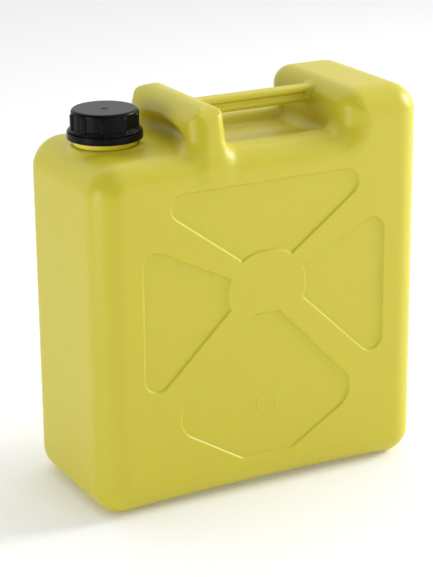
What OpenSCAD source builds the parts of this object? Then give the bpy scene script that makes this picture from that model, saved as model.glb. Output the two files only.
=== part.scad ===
// Blow-moulded plastic jerry can, nominal 20 litres, with a ribbed screw cap.
// Origin: middle of the base, on the surface that the can stands on.
// +X runs along the wide side away from the neck, +Y to the back, +Z up. Millimetres.

/* [Tank] */
// Width along X
body_w = 360; // [320:1:432]
// Depth along Y
body_d = 171; // [160:1:206]
// Height of the deck that the neck stands on
deck_h = 355; // [296:1:426]
// Wall thickness of the moulding
wall = 2.6; // [2:0.1:3.4]
// Radius of the four upright edges
edge_r = 29; // [24:1:35]
// Radius of the edges round the base
base_r = 27; // [22:1:33]
// Radius of the edges at the front and back of the deck
deck_r = 32; // [26:1:36]

/* [Carrying handle] */
// Height of the two posts above the deck
post_rise = 41; // [36:1:49]
// Distance from the neck axis to the near face of the left post
post_gap = 55.6; // [50:0.1:66]
// Width of the left post
post_w = 39; // [33:1:46]
// Depth of the left post along Y
post_d = 148; // [126:1:156]
// Depth of the hollow in the left post that faces the cap
scoop_depth = 7; // [4:0.5:9]
// Width of the hand opening between the posts
hand_w = 129; // [108:1:154]
// Depth of the hand recess below the deck
hand_drop = 10; // [7:1:12]
// Half length of the hand recess along Y
hand_half_d = 42; // [36:1:48]
// Height of the grip bar
bar_h = 16.4; // [14:0.1:19]
// Thickness of the grip bar along Y
bar_d = 16; // [13.5:0.1:19]
// Distance of the top of the grip bar below the top of the posts
bar_drop = 7; // [4:0.5:9]
// Radius of the long groove in each side of the grip bar
groove_r = 2.2; // [1.5:0.1:2.6]

/* [Pressed panels] */
// Depth of the four panels in the front and in the back
panel_depth = 1.8; // [1.2:0.1:2.4]
// Radius of the hub where the two ribs cross
hub_r = 38.8; // [32:0.1:44]
// Height of the middle of the hub as a share of the deck's height
hub_share = 0.6; // [0.58:0.005:0.62]

/* [Neck and cap] */
// Distance from the left side of the tank to the neck axis
neck_inset = 49.4; // [45:0.1:56]
// Radius of the bore through the neck
neck_bore_r = 25.5; // [21.5:0.1:26.5]
// Radius of the neck between its threads
neck_r = 28; // [27.6:0.1:29]
// How far a thread stands out of its wall
thread_h = 2; // [1.6:0.1:2.2]
// Rise of the thread in one turn
thread_lead = 6; // [5:0.1:7.2]
// Height of the neck above the deck
neck_h = 32.6; // [31:0.1:39]
// Free space between the neck's thread and the cap
thread_gap = 0.4; // [0.3:0.05:0.6]
// Thickness of the cap's side wall
cap_wall = 1.9; // [1.6:0.1:2.4]
// Thickness of the cap's top
cap_top = 2.2; // [1.8:0.1:3]
// How many grip ribs are on the cap
cap_ribs = 10; // [8:1:12]
// How far a grip rib stands out of the cap
rib_out = 1.8; // [1.2:0.1:2.4]
// Thickness of the sealing wad in the cap
wad_t = 2; // [1.6:0.1:2.6]
// Height of the tamper band
band_h = 6.8; // [6:0.1:7.4]
// Gap between the cap and the tamper band
band_slit = 0.7; // [0.6:0.1:1]

/* [Hidden] */
$fn = 96;

half_w = body_w / 2;
half_d = body_d / 2;
top_h = deck_h + post_rise;
hand_z = deck_h - hand_drop;

// posts of the handle
neck_x = neck_inset - half_w;
post_x0 = neck_x + post_gap;
post_x1 = post_x0 + post_w;
shoulder_x = post_x1 + hand_w;
post_half_d = post_d / 2;
post_near_r = 20;
post_far_r = 13;
post_edge_r = 14;
post_end_r = 16;
shoulder_r = 29;
crown_r = 20;
crown_end_r = 27;
flare_r = 12;
scoop_half = post_half_d - post_edge_r - 4;
scoop_r = (scoop_half * scoop_half + scoop_depth * scoop_depth) / (2 * scoop_depth);
post_root = deck_h - 35;

// grip bar
bar_z1 = top_h - bar_drop;
bar_z0 = bar_z1 - bar_h;
bar_r = 4;
groove_end = 7;

// panels: points [x, z] of their outlines in the front view, right half
wide = body_w / 360;
tall = deck_h / 355;
hub_z = deck_h * hub_share;
hub_spread = 4.9;
upper_outer = [132 * wide, deck_h - 33];
upper_inner = [18 * wide, hub_z + 24.5];
side_inner_high = [30, hub_z + 10.6];
side_inner_low = [30, hub_z - 5.4];
side_outer_low = [134 * wide, 108 * tall];
side_outer_high = [134 * wide, 277 * tall];
lower_bottom = [28 * wide, 38 * tall];
lower_side = [110 * wide, 88 * tall];
lower_top = [14 * wide, 188 * tall];
inner_r = 2;
upper_r = 14;
side_r = 14;
lower_bottom_r = 5;
lower_side_r = 24;
lower_top_r = 3;

// neck, wad, band and cap, all measured up from the deck
rim_z = deck_h + neck_h;
collar_r = neck_r + thread_h + 0.2;
crest_r = neck_r + thread_h;
fit_gap = 0.1;
wad_z = rim_z + fit_gap;
cap_inner_z = wad_z + wad_t + fit_gap;
cap_z1 = cap_inner_z + cap_top;
cap_inner_r = crest_r + thread_gap;
cap_outer_r = cap_inner_r + cap_wall;
rib_r = cap_outer_r + rib_out;
wad_r = cap_inner_r - 0.6;
cap_edge_r = 3;
rib_below_top = 4;
rib_w = 6;
rib_turn = 27;
skirt_lip_r = rib_r + 1.6;
skirt_lip_h = 2.6;
band_z0 = deck_h + 8.4;
band_z1 = band_z0 + band_h;
cap_z0 = band_z1 + band_slit;
band_r = rib_r + 2.7;
bead_r = collar_r + 2;
bead_z0 = band_z0 + 2.7;
bead_h = 2.8;
band_lip_r = bead_r - 0.8;
band_inner_r = bead_r + 0.5;
root_half = 1.6;
crest_half = 0.8;
thread_z0 = cap_z0 + 2.4;
cap_thread_z0 = thread_z0 + thread_lead / 2;
thread_steps = 12;
thread_arcs = floor((rim_z - 1 - root_half - thread_z0) / thread_lead * thread_steps);
cap_thread_arcs = floor((wad_z - 0.4 - root_half - cap_thread_z0) / thread_lead * thread_steps);
sunk = 0.5;

// ---- outlines with round corners, points in counter-clockwise order ----

function unit(v) = v / norm(v);
function out_normal(p, q) = let (d = unit(q - p)) [d[1], -d[0]];
function moved(a, b, c, grow) =
    let (n1 = out_normal(a, b), n2 = out_normal(b, c))
    b + (n1 + n2) * grow / (1 + n1 * n2);
function half_angle(a, b, c) = acos(unit(a - b) * unit(c - b)) / 2;
function is_convex(a, b, c) = (b[0] - a[0]) * (c[1] - b[1]) > (b[1] - a[1]) * (c[0] - b[0]);
function before(list, i) = list[(i + len(list) - 1) % len(list)];
function after(list, i) = list[(i + 1) % len(list)];
function arc_centre(a, b, c, r) =
    b + unit(unit(a - b) + unit(c - b)) * r / sin(half_angle(a, b, c));

// An outline whose corners have the given radii; grow moves every edge outwards.
module soft_outline(points, radii, grow = 0) {
    corner = [for (i = [0:len(points) - 1])
        moved(before(points, i), points[i], after(points, i), grow)];
    convex = [for (i = [0:len(points) - 1])
        is_convex(before(corner, i), corner[i], after(corner, i))];
    r = [for (i = [0:len(points) - 1]) radii[i] + (convex[i] ? grow : -grow)];
    reach = [for (i = [0:len(points) - 1])
        r[i] / tan(half_angle(before(corner, i), corner[i], after(corner, i)))];
    difference() {
        union() {
            polygon([for (i = [0:len(points) - 1]) each [
                corner[i] + unit(before(corner, i) - corner[i]) * reach[i],
                corner[i] + unit(after(corner, i) - corner[i]) * reach[i]]]);
            for (i = [0:len(points) - 1]) if (convex[i]) soft_corner(corner, r, i);
        }
        for (i = [0:len(points) - 1]) if (!convex[i]) soft_corner(corner, r, i);
    }
}

module soft_corner(corner, r, i) {
    translate(arc_centre(before(corner, i), corner[i], after(corner, i), r[i])) circle(r[i]);
}

module soft_rect(x0, x1, y0, y1, radii, grow = 0) {
    soft_outline([[x0, y0], [x1, y0], [x1, y1], [x0, y1]], radii, grow);
}

// Slabs: a front-view outline drawn out along Y, and a side-view outline along X.
module slab_y(y0, y1) {
    translate([0, y1, 0]) rotate([90, 0, 0]) linear_extrude(y1 - y0) children();
}

module slab_x(x0, x1) {
    translate([x0, 0, 0]) rotate([90, 0, 90]) linear_extrude(x1 - x0) children();
}

// ---- tank ----

// The tank with its raised right shoulder; inset draws its hollow inside.
module tank_block(inset) {
    past = half_w + 10;
    intersection() {
        slab_y(-half_d + inset, half_d - inset)
            soft_outline(
                [[-half_w, 0], [half_w, 0], [half_w, top_h], [shoulder_x, top_h],
                 [shoulder_x, deck_h], [-half_w, deck_h]],
                [base_r, base_r, shoulder_r, crown_r, flare_r, deck_r], -inset);
        linear_extrude(top_h + 10)
            soft_rect(-half_w, half_w, -half_d, half_d,
                [edge_r, edge_r, edge_r, edge_r], -inset);
        union() {
            slab_x(-past, shoulder_x - flare_r / 2 + inset)
                soft_rect(-half_d, half_d, 0, deck_h + flare_r,
                    [base_r, base_r, deck_r + flare_r, deck_r + flare_r], -inset);
            slab_x(shoulder_x - flare_r / 2 + inset, past)
                soft_rect(-half_d, half_d, 0, top_h,
                    [base_r, base_r, crown_end_r, crown_end_r], -inset);
        }
    }
}

// The left post, hollow on the side that faces the cap.
module left_post(inset) {
    intersection() {
        slab_y(-post_half_d + inset, post_half_d - inset)
            soft_rect(post_x0, post_x1, post_root - 10, top_h,
                [1 + inset, 1 + inset, post_far_r, post_near_r], -inset);
        translate([0, 0, post_root]) linear_extrude(top_h)
            difference() {
                soft_rect(post_x0, post_x1, -post_half_d, post_half_d,
                    [post_edge_r, post_edge_r, post_edge_r, post_edge_r], -inset);
                translate([post_x0 + scoop_depth - scoop_r, 0]) circle(scoop_r + inset);
            }
        slab_x(post_x0 - 10, post_x1 + 10)
            soft_rect(-post_half_d, post_half_d, post_root - 10, top_h,
                [1 + inset, 1 + inset, post_end_r, post_end_r], -inset);
    }
}

// Recess for the fingers between the posts, round at its four lower corners.
module hand_recess(inset) {
    slab_y(-hand_half_d - inset, hand_half_d + inset)
        soft_rect(post_x1, shoulder_x, hand_z, top_h + 20,
            [flare_r, flare_r, 1, 1], inset);
}

module hub_outline(grow) {
    for (side = [-1, 1]) translate([side * hub_spread, hub_z]) circle(hub_r + grow);
    translate([-hub_spread, hub_z - hub_r - grow]) square([2 * hub_spread, 2 * (hub_r + grow)]);
}

function mirrored(point) = [-point[0], point[1]];

// The four panels of one face: upper, two side and lower, in the front view.
module panel_outlines(grow) {
    difference() {
        union() {
            soft_outline(
                [mirrored(upper_inner), upper_inner, upper_outer, mirrored(upper_outer)],
                [inner_r, inner_r, upper_r, upper_r], grow);
            side_panel(grow);
            mirror([1, 0]) side_panel(grow);
        }
        hub_outline(-grow);
    }
    soft_outline(
        [mirrored(lower_bottom), lower_bottom, lower_side, lower_top,
         mirrored(lower_top), mirrored(lower_side)],
        [lower_bottom_r, lower_bottom_r, lower_side_r, lower_top_r, lower_top_r, lower_side_r],
        grow);
}

module side_panel(grow) {
    soft_outline([side_inner_high, side_inner_low, side_outer_low, side_outer_high],
        [inner_r, inner_r, side_r, side_r], grow);
}

module panels(depth, grow) {
    slab_y(-half_d - 1, -half_d + depth) panel_outlines(grow);
    slab_y(half_d - depth, half_d + 1) panel_outlines(grow);
}

module neck_outside() {
    root = deck_h - deck_r / 4;
    translate([neck_x, 0, 0]) rotate_extrude() polygon([
        [0, root], [collar_r, root], [collar_r, bead_z0 - 1], [bead_r, bead_z0],
        [bead_r, bead_z0 + bead_h - 1.4], [collar_r, bead_z0 + bead_h],
        [neck_r, bead_z0 + bead_h + 1], [neck_r, rim_z - 0.6], [neck_r - 0.6, rim_z], [0, rim_z]]);
}

module body_shell() {
    color([0.80, 0.76, 0.27]) difference() {
        union() {
            difference() {
                union() {
                    tank_block(0);
                    left_post(0);
                }
                hand_recess(0);
                panels(panel_depth, 0);
            }
            neck_outside();
            translate([neck_x, 0, 0])
                thread_ridge(thread_arcs, thread_z0, neck_r - sunk, crest_r, root_half, crest_half);
        }
        difference() {
            union() {
                tank_block(wall);
                left_post(wall);
            }
            hand_recess(wall);
            panels(panel_depth + wall, wall);
        }
        translate([neck_x, 0, deck_h - deck_r]) cylinder(h = neck_h + 2 * deck_r, r = neck_bore_r);
    }
}

module handle_bar() {
    color([0.80, 0.76, 0.27]) difference() {
        slab_x(post_x1, shoulder_x)
            soft_rect(-bar_d / 2, bar_d / 2, bar_z0, bar_z1, [bar_r, bar_r, bar_r, bar_r]);
        for (side = [-1, 1])
            translate([post_x1 + groove_end, side * bar_d / 2, (bar_z0 + bar_z1) / 2])
                rotate([0, 90, 0]) cylinder(h = hand_w - 2 * groove_end, r = groove_r);
    }
}

// ---- thread: short arcs of ridge, each a little higher than the one before ----

module thread_ridge(arcs, z, wall_r, tip_r, root, crest) {
    arc = 360 / thread_steps;
    for (i = [0:arcs - 1])
        rotate([0, 0, arc * i]) translate([0, 0, z + thread_lead * i / thread_steps])
            rotate_extrude(angle = arc)
                polygon([[wall_r, -root], [tip_r, -crest], [tip_r, crest], [wall_r, root]]);
}

// ---- cap, wad and tamper band ----

module cap() {
    color([0.10, 0.10, 0.11]) translate([neck_x, 0, 0]) {
        difference() {
            union() {
                rotate_extrude() intersection() {
                    soft_rect(-cap_outer_r, cap_outer_r, cap_z0, cap_z1,
                        [0.5, 0.5, cap_edge_r, cap_edge_r]);
                    translate([0, cap_z0]) square([band_r, cap_z1]);
                }
                rotate_extrude() polygon([
                    [cap_inner_r, cap_z0], [skirt_lip_r, cap_z0], [skirt_lip_r, cap_z0 + 0.8],
                    [cap_outer_r, cap_z0 + skirt_lip_h], [cap_inner_r, cap_z0 + skirt_lip_h]]);
                cap_grip_ribs();
            }
            translate([0, 0, cap_z0 - 1]) cylinder(h = cap_inner_z - cap_z0 + 1, r = cap_inner_r);
        }
        thread_ridge(cap_thread_arcs, cap_thread_z0, cap_inner_r + sunk,
            neck_r + thread_gap, root_half - 0.1, crest_half - 0.1);
    }
}

module cap_grip_ribs() {
    for (i = [0:cap_ribs - 1]) rotate([0, 0, rib_turn + 360 * i / cap_ribs])
        translate([0, -rib_w / 2, cap_z0])
            cube([rib_r, rib_w, cap_z1 - rib_below_top - cap_z0]);
}

module cap_gasket() {
    color([0.86, 0.86, 0.84]) translate([neck_x, 0, wad_z]) cylinder(h = wad_t, r = wad_r);
}

module tamper_ring() {
    color([0.10, 0.10, 0.11]) translate([neck_x, 0, 0]) rotate_extrude() polygon([
        [band_lip_r, band_z0], [band_r, band_z0], [band_r, band_z1 - 1], [band_r - 1, band_z1],
        [band_inner_r, band_z1], [band_inner_r, bead_z0 - 0.6], [band_lip_r, bead_z0 - 1.4]]);
}

body_shell();
handle_bar();
cap();
cap_gasket();
tamper_ring();
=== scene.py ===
"""A yellow blow-moulded jerry can with a black ribbed screw cap, on a pale floor."""

import math

import bpy
import numpy as np
from mathutils import Matrix, Vector


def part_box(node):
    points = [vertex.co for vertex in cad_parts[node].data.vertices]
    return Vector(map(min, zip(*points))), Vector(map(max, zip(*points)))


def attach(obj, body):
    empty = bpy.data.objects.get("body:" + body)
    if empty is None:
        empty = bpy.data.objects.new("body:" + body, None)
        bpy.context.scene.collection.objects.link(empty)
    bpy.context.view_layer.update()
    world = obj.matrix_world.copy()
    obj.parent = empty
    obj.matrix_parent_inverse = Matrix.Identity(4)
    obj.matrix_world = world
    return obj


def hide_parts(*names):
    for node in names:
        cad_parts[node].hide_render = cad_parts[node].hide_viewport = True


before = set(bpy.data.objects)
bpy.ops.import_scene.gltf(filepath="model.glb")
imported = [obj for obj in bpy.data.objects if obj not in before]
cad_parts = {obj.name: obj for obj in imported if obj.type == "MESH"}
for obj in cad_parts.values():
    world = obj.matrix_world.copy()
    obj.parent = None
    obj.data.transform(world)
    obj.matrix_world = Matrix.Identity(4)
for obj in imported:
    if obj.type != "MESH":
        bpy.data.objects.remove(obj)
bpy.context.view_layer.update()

MM = 0.001

# ---- sizes in millimetres: overall ones from the frame, the rest estimated for this can ----


def node_box_mm(node):
    """The lowest and highest corner of a CAD node, in millimetres."""
    low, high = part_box(node)
    return np.array(low) / MM, np.array(high) / MM


BODY_LOW, BODY_HIGH = node_box_mm("body_shell")
CAP_LOW, CAP_HIGH = node_box_mm("cap")
BAND_LOW, BAND_HIGH = node_box_mm("tamper_ring")
BAR_LOW, BAR_HIGH = node_box_mm("handle_bar")

HALF_W = BODY_HIGH[0]
HALF_D = BODY_HIGH[1]
TOP = BODY_HIGH[2]
DECK = TOP - 41.0
DECK_ROOT = DECK - 20.0
NECK_X = (CAP_LOW[0] + CAP_HIGH[0]) / 2
POST_RIGHT = BAR_LOW[0]
POST_LEFT = POST_RIGHT - 39.0
SHOULDER = BAR_HIGH[0]
BAR_MID = (BAR_LOW[2] + BAR_HIGH[2]) / 2

HUB_Z, HUB_HALF_FLAT, HUB_R = 213.0, 4.9, 38.8
PANEL_DEPTH, BEVEL_HALF = 2.0, 1.05
MARK_Z, MARK_R, MARK_HEIGHT, MARK_HALF = 92.0, 11.0, 0.45, 0.8
SEAM_HEIGHT, SEAM_HALF = 0.22, 0.55

DECK_END_R, SHOULDER_R, SHOULDER_FILLET = 32.0, 20.0, 12.0
TOP_END_R, BASE_END_R, FACE_EDGE_R = 29.0, 27.0, 28.0
RECESS_DEPTH = 10.5
ARCH_RISE, ARCH_HALF = 3.2, 150.0

POST_HALF, POST_NOSE_HALF, POST_LEAN_Z = 73.5, 77.5, 376.0
POST_LEAN = math.radians(15)
POST_DRAFT = 0.08
SCOOP_HALF, SCOOP_DEPTH, SCOOP_SQUASH, SCOOP_RISE = 60.0, 17.0, 3.2, 5.0

BAR_HALF_D, BAR_HALF_H, BAR_EDGE_R = 8.0, 8.2, 3.5
GROOVE_Y, GROOVE_R = 8.2, 2.5
BAR_SUNK = 14.0

NECK_BORE_R = 25.5
NECK_SUNK = 14.0
PAD_R, PAD_RISE = 34.0, 2.2


# ---- distance fields: negative inside, in millimetres ----


def round_and(a, b, r):
    """Where both are inside, with the edge between them rounded to radius r."""
    return np.minimum(-r, np.maximum(a, b)) + np.hypot(np.maximum(r + a, 0), np.maximum(r + b, 0))


def round_or(a, b, r):
    """Where either is inside, with a fillet of radius r in the corner between them."""
    return np.maximum(r, np.minimum(a, b)) - np.hypot(np.maximum(r - a, 0), np.maximum(r - b, 0))


def smooth(start, end, t):
    """0 at start, 1 at end, with a soft step between."""
    s = np.clip((t - start) / (end - start), 0, 1)
    return s * s * (3 - 2 * s)


def soft_polygon(x, z, corners, radii):
    """Distance to a convex outline, corners counter-clockwise, each rounded to its radius."""
    pts = np.array(corners, float)
    count = len(pts)
    along = np.roll(pts, -1, axis=0) - pts
    along /= np.linalg.norm(along, axis=1)[:, None]
    normal = np.stack([along[:, 1], -along[:, 0]], axis=1)
    d = np.full(np.shape(x), -1e9)
    for i in range(count):
        d = np.maximum(d, (x - pts[i, 0]) * normal[i, 0] + (z - pts[i, 1]) * normal[i, 1])
    for i in range(count):
        n1, n2, r = normal[i - 1], normal[i], radii[i]
        centre = pts[i] - (n1 + n2) * r / (1 + n1 @ n2)
        u, v = x - centre[0], z - centre[1]
        in_wedge = (n1[0] * v - n1[1] * u >= 0) & (u * n2[1] - v * n2[0] >= 0)
        d = np.where(in_wedge, np.hypot(u, v) - r, d)
    return d


def hub(x, z):
    """Distance to the hub, a circle with a short flat, in the front view."""
    return np.hypot(np.maximum(np.abs(x) - HUB_HALF_FLAT, 0), z - HUB_Z) - HUB_R


def panels(x, z):
    """Distance to the pressed panels of one face, in the front view."""
    ax = np.abs(x)
    upper = soft_polygon(x, z, [(-18, 237.5), (18, 237.5), (132, 322), (-132, 322)], [2, 2, 14, 14])
    side = soft_polygon(ax, z, [(30, 223.6), (30, 207.6), (134, 108), (134, 277)], [2, 2, 14, 14])
    lower = soft_polygon(
        x, z, [(-28, 38), (28, 38), (110, 88), (14, 188), (-14, 188), (-110, 88)],
        [5, 5, 24, 3, 3, 24])
    return np.minimum(np.maximum(np.minimum(upper, side), -hub(x, z)), lower)


def panel_share(x, z):
    """1 in a panel, 0 on the ribs and the border, with a soft bevel between."""
    return smooth(BEVEL_HALF, -BEVEL_HALF, panels(x, z))


def mark_ring(x, z):
    """Distance from the middle line of the plain ring in the lower panel, in the front view."""
    return np.hypot(x, z - MARK_Z) - MARK_R


def deck_height(x, y):
    """The deck, lower in the hand recess between the posts."""
    between = smooth(POST_RIGHT - 12, POST_RIGHT - 4, x) * smooth(SHOULDER + 12, SHOULDER + 4, x)
    return DECK - RECESS_DEPTH * between * smooth(49, 40, np.abs(y))


def arch(x):
    """The base stands on its two ends and is a little arched between them."""
    return ARCH_RISE * np.clip(1 - (x / ARCH_HALF) ** 2, 0, 1)


def tank(x, y, z):
    """The tank with its shoulder and deck, without the left post."""
    left, right, bottom, top = -HALF_W - x, x - HALF_W, arch(x) - z, z - TOP
    deck = round_and(left, z - deck_height(x, y), DECK_END_R)
    shoulder = round_and(SHOULDER - x, top, SHOULDER_R)
    profile = round_or(shoulder, deck, SHOULDER_FILLET)
    profile = np.maximum(profile, round_and(right, top, TOP_END_R))
    profile = np.maximum(profile, round_and(left, bottom, BASE_END_R))
    profile = np.maximum(profile, round_and(right, bottom, BASE_END_R))
    face = np.abs(y) - HALF_D + PANEL_DEPTH * panel_share(x, z)
    return round_and(profile, face, FACE_EDGE_R)


def left_post(x, y, z):
    """The post beside the neck: leaning ends, round corners and a hollow in its left face."""
    ends = (np.abs(y) - POST_HALF) * math.cos(POST_LEAN) + (z - POST_LEAN_Z) * math.sin(POST_LEAN)
    ends = np.maximum(ends, np.abs(y) - POST_NOSE_HALF)
    top = z - TOP
    left = POST_LEFT + POST_DRAFT * (z - DECK) - x
    near = np.maximum(round_and(left, top, 20), round_and(left, ends, 18))
    far = np.maximum(round_and(x - POST_RIGHT, top, 12), round_and(x - POST_RIGHT, ends, 12))
    post = np.maximum(np.maximum(near, far), round_and(ends, top, 15))
    post = np.maximum(post, DECK_ROOT - z)
    radius = (SCOOP_HALF ** 2 + SCOOP_DEPTH ** 2) / (2 * SCOOP_DEPTH)
    out, up = x - (POST_LEFT + SCOOP_DEPTH - radius), SCOOP_SQUASH * (z - DECK - SCOOP_RISE)
    scoop = np.hypot(np.hypot(out, y), up) - radius
    return round_and(post, -scoop, 6)


def grip_bar(y, z):
    """The grip bar's section, endless along x."""
    u = np.maximum(np.abs(y) - (BAR_HALF_D - BAR_EDGE_R), 0)
    v = np.maximum(np.abs(z - BAR_MID) - (BAR_HALF_H - BAR_EDGE_R), 0)
    return np.hypot(u, v) - BAR_EDGE_R


def bar_groove(x, y, z):
    """The round-ended groove along each side of the bar."""
    middle, half = (POST_RIGHT + SHOULDER) / 2, (SHOULDER - POST_RIGHT) / 2 - 7
    u = np.maximum(np.abs(x - middle) - half, 0)
    return np.sqrt(u * u + (np.abs(y) - GROOVE_Y) ** 2 + (z - BAR_MID) ** 2) - GROOVE_R


def body_field(x, y, z):
    """The whole moulding: tank, post, bar, neck pad and pit, ring mark and seam ridge."""
    d = round_or(tank(x, y, z), left_post(x, y, z), 13)
    inside_posts = np.maximum(POST_RIGHT - BAR_SUNK - x, x - SHOULDER - BAR_SUNK)
    d = round_or(d, np.maximum(grip_bar(y, z), inside_posts), 4.5)
    d = round_and(d, -bar_groove(x, y, z), 0.8)
    from_neck = np.hypot(x - NECK_X, y)
    pad = round_and(from_neck - PAD_R, z - DECK - PAD_RISE, 1.5)
    d = round_or(d, np.maximum(pad, DECK_ROOT - z), 5)
    pit = np.maximum(from_neck - NECK_BORE_R, DECK - 12 - z)
    d = np.maximum(d, -pit)
    ring = MARK_HEIGHT * np.exp(-((mark_ring(x, z) / MARK_HALF) ** 2)) * (y < 0)
    return d - SEAM_HEIGHT * np.exp(-((y / SEAM_HALF) ** 2)) - ring


# ---- from a distance field to a closed mesh ----


def grid_mesh(field, low, high, step):
    """Surface nets: one vertex in each cell that the surface crosses, one quad on each crossed edge."""
    axes = [np.arange(a - step, b + 2 * step, step) for a, b in zip(low, high)]
    values = field(*np.meshgrid(*axes, indexing="ij"))
    inside = values < 0
    cells = tuple(n - 1 for n in inside.shape)
    corners = [(i, j, k) for i in (0, 1) for j in (0, 1) for k in (0, 1)]

    def at(array, i, j, k):
        return array[i:i + cells[0], j:j + cells[1], k:k + cells[2]]

    count = sum(at(inside, *c).astype(np.int8) for c in corners)
    active = (count > 0) & (count < 8)
    number = np.full(cells, -1)
    number[active] = np.arange(active.sum())
    total, weight = np.zeros((active.sum(), 3)), np.zeros(active.sum())
    where = np.argwhere(active)
    for c in corners:
        for axis in range(3):
            if c[axis]:
                continue
            e = tuple(v + (n == axis) for n, v in enumerate(c))
            a, b = at(values, *c)[active], at(values, *e)[active]
            crossed = (a < 0) != (b < 0)
            t = np.where(crossed, a / np.where(crossed, a - b, 1), 0)
            point = np.tile(np.array(c, float), (len(a), 1))
            point[:, axis] += t
            total += point * crossed[:, None]
            weight += crossed
    start = np.array([a[0] for a in axes])
    points = start + step * (where + total / weight[:, None])
    quads = []
    for axis in range(3):
        u, v = (axis + 1) % 3, (axis + 2) % 3
        here = np.moveaxis(inside, (axis, u, v), (0, 1, 2))
        ids = np.moveaxis(number, (axis, u, v), (0, 1, 2))
        a, b = here[:-1, 1:-1, 1:-1], here[1:, 1:-1, 1:-1]
        at_edge = np.argwhere(a != b)
        leaving = a[a != b]
        i, j, k = at_edge[:, 0], at_edge[:, 1] + 1, at_edge[:, 2] + 1
        quad = np.stack(
            [ids[i, j - 1, k - 1], ids[i, j, k - 1], ids[i, j, k], ids[i, j - 1, k]], axis=1)
        quad[~leaving] = quad[~leaving][:, ::-1]
        quads.append(quad)
    quads = np.concatenate(quads)
    tris = np.concatenate([quads[:, [0, 1, 2]], quads[:, [0, 2, 3]]])
    return points, tris


def gradient(field, p, step=0.05):
    """The field's slope at each point."""
    g = np.empty_like(p)
    for axis in range(3):
        d = np.zeros(3)
        d[axis] = step
        g[:, axis] = field(*(p + d).T) - field(*(p - d).T)
    return g / (2 * step)


def settle(field, p, rounds):
    """Moves points onto the surface along the field's slope."""
    for _ in range(rounds):
        g = gradient(field, p)
        slope = np.maximum((g * g).sum(1), 0.05)
        move = g * (field(*p.T) / slope)[:, None]
        length = np.linalg.norm(move, axis=1)
        p = p - move * np.minimum(1, 1.5 / np.maximum(length, 1e-9))[:, None]
    return p


def refine(points, tris, wanted):
    """Halves every edge of the wanted triangles, and fits their neighbours to the new points."""
    ends = np.sort(tris[:, [0, 1, 1, 2, 2, 0]].reshape(-1, 2), axis=1)
    keys, side = np.unique(ends[:, 0] * len(points) + ends[:, 1], return_inverse=True)
    side = side.reshape(-1, 3)
    halved = np.zeros(len(keys), bool)
    halved[side[wanted]] = True
    number = np.full(len(keys), -1)
    number[halved] = len(points) + np.arange(halved.sum())
    a, b = keys[halved] // len(points), keys[halved] % len(points)
    more = np.concatenate([points, (points[a] + points[b]) / 2])
    mid = number[side]
    cut = (mid >= 0).sum(1)
    out = [tris[cut == 0]]
    for count in (1, 2):
        t, m = tris[cut == count], mid[cut == count]
        first = np.argmax(m >= 0, axis=1) if count == 1 else (np.argmin(m, axis=1) + 1) % 3
        turn = (first[:, None] + np.arange(3)) % 3
        t, m = np.take_along_axis(t, turn, 1), np.take_along_axis(m, turn, 1)
        if count == 1:
            out += [np.stack([t[:, 0], m[:, 0], t[:, 2]], 1), np.stack([m[:, 0], t[:, 1], t[:, 2]], 1)]
        else:
            out += [np.stack([t[:, 0], m[:, 0], t[:, 2]], 1), np.stack([m[:, 0], m[:, 1], t[:, 2]], 1),
                    np.stack([m[:, 0], t[:, 1], m[:, 1]], 1)]
    t, m = tris[cut == 3], mid[cut == 3]
    out += [np.stack([t[:, 0], m[:, 0], m[:, 2]], 1), np.stack([m[:, 0], t[:, 1], m[:, 1]], 1),
            np.stack([m[:, 2], m[:, 1], t[:, 2]], 1), m]
    return more, np.concatenate(out)


def mesh_object(name, points, faces, normals=None):
    """A smooth mesh from points in millimetres."""
    mesh = bpy.data.meshes.new(name)
    mesh.from_pydata((points * MM).tolist(), [], faces.tolist() if hasattr(faces, "tolist") else faces)
    mesh.update()
    mesh.shade_smooth()
    if normals is not None:
        mesh.normals_split_custom_set_from_vertices(normals.tolist())
    made = bpy.data.objects.new(name, mesh)
    bpy.context.scene.collection.objects.link(made)
    return made


def field_object(name, field, low, high, step, details=()):
    """A closed piece from a distance field; details are tests that say where to halve the mesh."""
    points, tris = grid_mesh(field, low, high, step)
    points = settle(field, points, 3)
    for detail in details:
        points, tris = refine(points, tris, detail(points[tris].mean(1)))
        points = settle(field, points, 2)
    g = gradient(field, points)
    normals = g / np.maximum(np.linalg.norm(g, axis=1), 1e-9)[:, None]
    return mesh_object(name, points, tris, normals)


# ---- lathe and thread pieces ----


def lathe(name, outline, x, sides=160):
    """A closed ring turned round the vertical axis at x; outline is [(radius, z)] in order."""
    outline = np.array(outline, float)
    angle = 2 * math.pi * np.arange(sides) / sides
    ring = np.stack([np.cos(angle), np.sin(angle)], 1)
    points = np.concatenate([
        np.column_stack([ring * r + [x, 0], np.full(sides, z)]) for r, z in outline])
    rows = len(outline)
    faces = []
    for i in range(rows):
        a, b = i * sides, ((i + 1) % rows) * sides
        for j in range(sides):
            k = (j + 1) % sides
            faces.append((a + j, a + k, b + k, b + j))
    return mesh_object(name, points, faces)


def round_outline(corners, radius, steps=4):
    """The outline with every corner rounded by a short arc."""
    pts = np.array(corners, float)
    out = []
    for i in range(len(pts)):
        p, a, b = pts[i], pts[i - 1], pts[(i + 1) % len(pts)]
        u, v = (a - p) / np.linalg.norm(a - p), (b - p) / np.linalg.norm(b - p)
        half = math.acos(max(-1, min(1, float(u @ v)))) / 2
        reach = min(radius / math.tan(half), 0.45 * np.linalg.norm(a - p), 0.45 * np.linalg.norm(b - p))
        for s in np.linspace(0, 1, steps + 1):
            start, end = p + u * reach, p + v * reach
            out.append(tuple((1 - s) ** 2 * start + 2 * s * (1 - s) * p + s * s * end))
    return out


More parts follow.
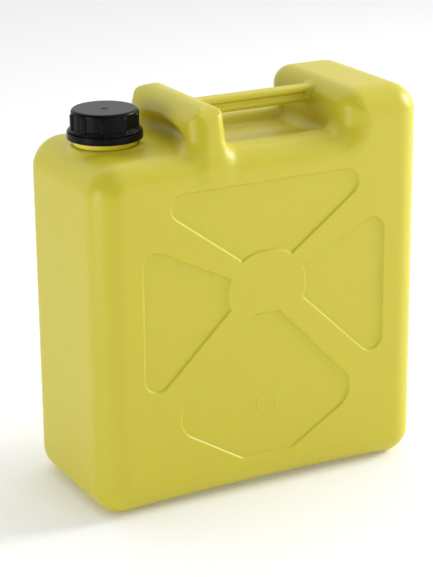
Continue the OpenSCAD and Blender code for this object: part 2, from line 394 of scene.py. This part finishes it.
def thread(name, x, z0, lead, turns, wall_r, crest_r, root_half, crest_half, steps_per_turn=72):
    """A closed helical ridge that fades in and out at its ends."""
    count = int(turns * steps_per_turn)
    points, faces = [], []
    for i in range(count + 1):
        angle = 2 * math.pi * i / steps_per_turn
        fade = min(1, 8 * i / count, 8 * (count - i) / count)
        reach = wall_r + (crest_r - wall_r) * (0.15 + 0.85 * fade)
        z = z0 + lead * i / steps_per_turn
        for r, dz in ((wall_r, -root_half), (reach, -crest_half), (reach, crest_half), (wall_r, root_half)):
            points.append((x + r * math.cos(angle), r * math.sin(angle), z + dz))
    for i in range(count):
        a, b = 4 * i, 4 * i + 4
        for j in range(4):
            k = (j + 1) % 4
            faces.append((a + j, b + j, b + k, a + k))
    faces.append((0, 1, 2, 3))
    faces.append((4 * count + 3, 4 * count + 2, 4 * count + 1, 4 * count))
    return mesh_object(name, np.array(points), faces)


# ---- cap ----


CAP_TOP, CAP_BOTTOM = CAP_HIGH[2], CAP_LOW[2]
CAP_RIBS = 10
RIB_TURN = math.radians(27)
CAP_R, RIB_R, RIB_HALF = 32.3, 34.1, 3.0
LIP_R, LIP_HEIGHT = 35.6, 3.4
GATE_R, GATE_HEIGHT = 3.2, 0.5
CAP_BORE_R, CAP_ROOF = 30.4, 1.7
CAP_REACH = 36.0


def cap_field(x, y, z):
    """The cap's shell: disc, flared lip, ribs, gate mark and the hollow inside."""
    u, v = x - NECK_X, y
    r = np.hypot(u, v)
    d = round_and(r - CAP_R, z - CAP_TOP, 3)
    flare = np.maximum(z - CAP_BOTTOM - 1.0, 0) * 1.1
    lip = round_and(r - LIP_R + flare, z - CAP_BOTTOM - LIP_HEIGHT, 0.6)
    d = round_or(d, lip, 1.0)
    pitch = 2 * math.pi / CAP_RIBS
    angle = np.arctan2(v, u)
    folded = (angle - RIB_TURN + pitch / 2) % pitch - pitch / 2
    along, across = r * np.cos(folded), r * np.sin(folded)
    rib = round_and(np.abs(across) - RIB_HALF, along - RIB_R, 1.4)
    rib = round_and(rib, z - (CAP_TOP - 3.6), 1.6)
    d = round_or(d, np.maximum(rib, 28 - along), 0.9)
    gate = round_and(r - GATE_R, z - CAP_TOP - GATE_HEIGHT, 0.2)
    d = round_or(d, np.maximum(gate, CAP_TOP - 1 - z), 0.5)
    hollow = np.maximum(r - CAP_BORE_R, z - (CAP_TOP - CAP_ROOF))
    d = np.maximum(d, -hollow)
    return np.maximum(d, CAP_BOTTOM - z)


# ---- materials ----


def material(name, base, roughness):
    """A plain material, and its parts for adding to."""
    made = bpy.data.materials.new(name)
    made.use_nodes = True
    nodes, links = made.node_tree.nodes, made.node_tree.links
    shader = nodes["Principled BSDF"]
    shader.inputs["Base Color"].default_value = (*base, 1)
    shader.inputs["Roughness"].default_value = roughness
    return made, nodes, links, shader


def linear(r, g, b):
    """A colour given as 0 to 255 on screen, as the shader wants it."""
    return tuple((c / 255 / 12.92) if c / 255 <= 0.04045 else ((c / 255 + 0.055) / 1.055) ** 2.4
                 for c in (r, g, b))


def noise(nodes, links, scale, stretch, detail=2.0):
    """Noise in object space, stretched along the axes by stretch."""
    place = nodes.new("ShaderNodeTexCoord")
    mapping = nodes.new("ShaderNodeMapping")
    mapping.inputs["Scale"].default_value = stretch
    texture = nodes.new("ShaderNodeTexNoise")
    texture.inputs["Scale"].default_value = scale
    texture.inputs["Detail"].default_value = detail
    links.new(place.outputs["Object"], mapping.inputs["Vector"])
    links.new(mapping.outputs["Vector"], texture.inputs["Vector"])
    return texture.outputs["Fac"]


def bump(nodes, links, shader, height, distance, strength):
    made = nodes.new("ShaderNodeBump")
    made.inputs["Distance"].default_value = distance
    made.inputs["Strength"].default_value = strength
    links.new(height, made.inputs["Height"])
    links.new(made.outputs["Normal"], shader.inputs["Normal"])


def tank_plastic(name, colour, see_through):
    """Satin polythene with faint upright flow streaks; see_through is the share of light that soaks in."""
    made, nodes, links, shader = material(name, colour, 0.42)
    shader.inputs["IOR"].default_value = 1.58
    shader.inputs["Subsurface Weight"].default_value = see_through
    shader.inputs["Subsurface Radius"].default_value = (1.0, 0.75, 0.2)
    shader.inputs["Subsurface Scale"].default_value = 0.006
    streaks = noise(nodes, links, 1.0, (340, 340, 6.0), 2.0)
    ramp = nodes.new("ShaderNodeMapRange")
    ramp.inputs["To Min"].default_value = 0.38
    ramp.inputs["To Max"].default_value = 0.47
    links.new(streaks, ramp.inputs["Value"])
    links.new(ramp.outputs["Result"], shader.inputs["Roughness"])
    bump(nodes, links, shader, streaks, 0.00015, 0.8)
    return made


def cap_plastic():
    """Black plastic with a fine grain."""
    made, nodes, links, shader = material("cap_black", linear(6, 6, 6), 0.3)
    shader.inputs["Specular IOR Level"].default_value = 0.11
    grain = noise(nodes, links, 900.0, (1, 1, 1), 1.0)
    bump(nodes, links, shader, grain, 0.0001, 0.3)
    return made


def wad_foam():
    made, _, _, _ = material("wad_foam", linear(225, 223, 214), 0.8)
    return made


TANK_MATERIAL = tank_plastic("tank_hdpe", linear(207, 195, 38), 0.15)
# The neck is the tank's own polythene given a brighter yellow: painted light, standing in for light shining
# through the thin neck wall.
NECK_LIT_MATERIAL = tank_plastic("neck_hdpe_painted_light", linear(248, 222, 40), 0.6)
CAP_MATERIAL = cap_plastic()
WAD_MATERIAL = wad_foam()


def finish_piece(piece, body, slot, look, *stands_for):
    """Gives a piece its material and its body, and hides the CAD nodes it stands for; slot is not used."""
    piece.data.materials.clear()
    piece.data.materials.append(look)
    if stands_for:
        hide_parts(*stands_for)
    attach(piece, body)


# ---- pieces ----


def near_face_lines(x, y, z, panel_width, mark_width):
    """Where the panels' bevels and the ring mark are on the two big faces."""
    mark = (np.abs(mark_ring(x, z)) < mark_width) & (y < 0)
    return (np.abs(y) > HALF_D - 12) & ((np.abs(panels(x, z)) < panel_width) | mark)


def near_panel_edges(p):
    return near_face_lines(*p.T, 2.2, 2.0)


def near_details(width):
    """A test for where the body's mesh needs to be finer: bevels, mark, bar, seam and neck pit."""

    def test(p):
        x, y, z = p.T
        face = near_face_lines(x, y, z, width, width)
        bar = (np.abs(y) < BAR_HALF_D + width) & (np.abs(z - BAR_MID) < 9 + width)
        bar &= (x > POST_RIGHT - 6) & (x < SHOULDER + 6)
        seam = np.abs(y) < 0.5 * width
        neck = (np.hypot(x - NECK_X, y) < NECK_BORE_R + width) & (z > DECK - 16)
        return face | bar | seam | neck

    return test


def build_body():
    step = 4.0
    details = [near_details(7.0), near_details(4.0), near_panel_edges]
    low, high = (-HALF_W, -HALF_D, 0.0), (HALF_W, HALF_D, TOP)
    return field_object("tank_body", body_field, low, high, step, details)


def build_neck():
    """The neck: a collar, the bead that holds the band, and the threaded wall above it."""
    root, bead, rim = DECK - NECK_SUNK, BAND_LOW[2] + 2.7, CAP_TOP - 4.4
    collar_r, bead_r, wall_r = 30.8, 32.2, 28.0
    outline = round_outline(
        [(NECK_BORE_R, root), (collar_r, root), (collar_r, bead - 1), (bead_r, bead), (bead_r, bead + 1.4),
         (30.2, bead + 2.8), (wall_r, bead + 3.8), (wall_r, rim), (NECK_BORE_R, rim)], 0.4)
    return lathe("neck", outline, NECK_X)


def build_neck_thread():
    return thread("neck_thread", NECK_X, CAP_BOTTOM + 2.4, lead=6.0, turns=2.0,
                  wall_r=27.5, crest_r=30.0, root_half=1.6, crest_half=0.8)


def build_cap():
    low = (NECK_X - CAP_REACH, -CAP_REACH, CAP_BOTTOM)
    high = (NECK_X + CAP_REACH, CAP_REACH, CAP_TOP + 1)
    return field_object("cap_shell", cap_field, low, high, 0.8)


def build_band():
    """The tamper band, with the lip that catches under the neck's bead."""
    low, high = BAND_LOW[2], BAND_HIGH[2]
    outer_r, inner_r, lip_r = 36.8, 32.7, 31.4
    outline = round_outline(
        [(lip_r, low), (outer_r, low), (outer_r, high), (inner_r, high), (inner_r, low + 2.1),
         (lip_r, low + 1.3)], 0.5)
    return lathe("tamper_band", outline, NECK_X)


finish_piece(build_body(), "tank", "tank_plastic", TANK_MATERIAL, "body_shell", "handle_bar")
finish_piece(build_neck(), "tank", "tank_plastic", NECK_LIT_MATERIAL)
finish_piece(build_neck_thread(), "tank", "tank_plastic", NECK_LIT_MATERIAL)
finish_piece(build_cap(), "cap_body", "cap_plastic", CAP_MATERIAL, "cap")
finish_piece(build_band(), "tamper_band", "cap_plastic", CAP_MATERIAL, "tamper_ring")
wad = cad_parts["cap_gasket"]
wad.data.materials.clear()
wad.data.materials.append(WAD_MATERIAL)


# ---- stage: floor, light and camera ----


def build_floor():
    """A wide white floor that glows a little."""
    size = 30.0
    corners = [(-size, -size, 0), (size, -size, 0), (size, size, 0), (-size, size, 0)]
    mesh = bpy.data.meshes.new("floor")
    mesh.from_pydata(corners, [], [(0, 1, 2, 3)])
    floor = bpy.data.objects.new("floor", mesh)
    bpy.context.scene.collection.objects.link(floor)
    look, _, _, shader = material("floor_white", (0.91, 0.912, 0.94), 0.9)
    shader.inputs["Specular IOR Level"].default_value = 0.0
    shader.inputs["Emission Color"].default_value = (1.0, 1.0, 0.97, 1)
    shader.inputs["Emission Strength"].default_value = 0.13
    floor.data.materials.append(look)


CAN_MIDDLE = Vector((0, 0, 0.2))


def build_world():
    """Soft light from all round, stronger from behind the can, and a white backdrop."""
    world = bpy.data.worlds.new("studio")
    bpy.context.scene.world = world
    world.use_nodes = True
    nodes, links = world.node_tree.nodes, world.node_tree.links
    place = nodes.new("ShaderNodeTexCoord")
    behind = nodes.new("ShaderNodeVectorMath")
    behind.operation = "DOT_PRODUCT"
    behind.inputs[1].default_value = (0.6, 0.76, 0.25)
    share = nodes.new("ShaderNodeMapRange")
    share.inputs["From Min"].default_value = -0.35
    share.inputs["From Max"].default_value = 0.5
    share.inputs["To Min"].default_value = 0.08
    share.inputs["To Max"].default_value = 1.05
    links.new(place.outputs["Generated"], behind.inputs[0])
    links.new(behind.outputs["Value"], share.inputs["Value"])
    lighting = nodes["Background"]
    lighting.inputs["Color"].default_value = (1.0, 1.0, 0.985, 1)
    links.new(share.outputs["Result"], lighting.inputs["Strength"])
    backdrop = nodes.new("ShaderNodeBackground")
    backdrop.inputs["Color"].default_value = (0.965, 0.965, 0.93, 1)
    mix = nodes.new("ShaderNodeMixShader")
    path = nodes.new("ShaderNodeLightPath")
    links.new(path.outputs["Is Camera Ray"], mix.inputs[0])
    links.new(lighting.outputs["Background"], mix.inputs[1])
    links.new(backdrop.outputs["Background"], mix.inputs[2])
    links.new(mix.outputs["Shader"], nodes["World Output"].inputs["Surface"])


def area_light(name, place, size, power):
    """A rectangular light turned to the middle of the can."""
    data = bpy.data.lights.new(name, "AREA")
    data.shape = "RECTANGLE"
    data.size, data.size_y = size
    data.energy = power
    light = bpy.data.objects.new(name, data)
    light.location = place
    light.rotation_euler = (CAN_MIDDLE - Vector(place)).to_track_quat("-Z", "Y").to_euler()
    bpy.context.scene.collection.objects.link(light)


def build_camera():
    """The camera at the photograph's viewing angle."""
    yaw, rise, roll = math.radians(-28.13), math.radians(18.95), math.radians(-0.5)
    back = Vector((math.sin(yaw) * math.cos(rise), -math.cos(yaw) * math.cos(rise), math.sin(rise)))
    right = Vector((math.cos(yaw), math.sin(yaw), 0))
    up = back.cross(right)
    right2 = right * math.cos(roll) + up * math.sin(roll)
    up2 = -right * math.sin(roll) + up * math.cos(roll)
    data = bpy.data.cameras.new("camera")
    data.lens = 121.75
    data.sensor_width = 36.0
    data.clip_end = 100
    camera = bpy.data.objects.new("camera", data)
    camera.matrix_world = Matrix((right2, up2, back)).transposed().to_4x4()
    camera.location = (-0.8939, -1.6517, 0.8324)
    bpy.context.scene.collection.objects.link(camera)
    bpy.context.scene.camera = camera


build_floor()
build_world()
area_light("top", (0.2, 0.9, 2.8), (2.4, 1.6), 8)
area_light("high", (-0.2, -1.9, 2.6), (2.2, 0.8), 12)
area_light("low", (1.1, -2.9, 0.8), (1.4, 1.0), 11)
area_light("right", (2.6, -0.4, 1.3), (0.9, 1.0), 54)
area_light("left", (-2.7, -0.5, 0.4), (1.2, 0.7), 21)
build_camera()
bpy.context.scene.view_settings.view_transform = "Standard"
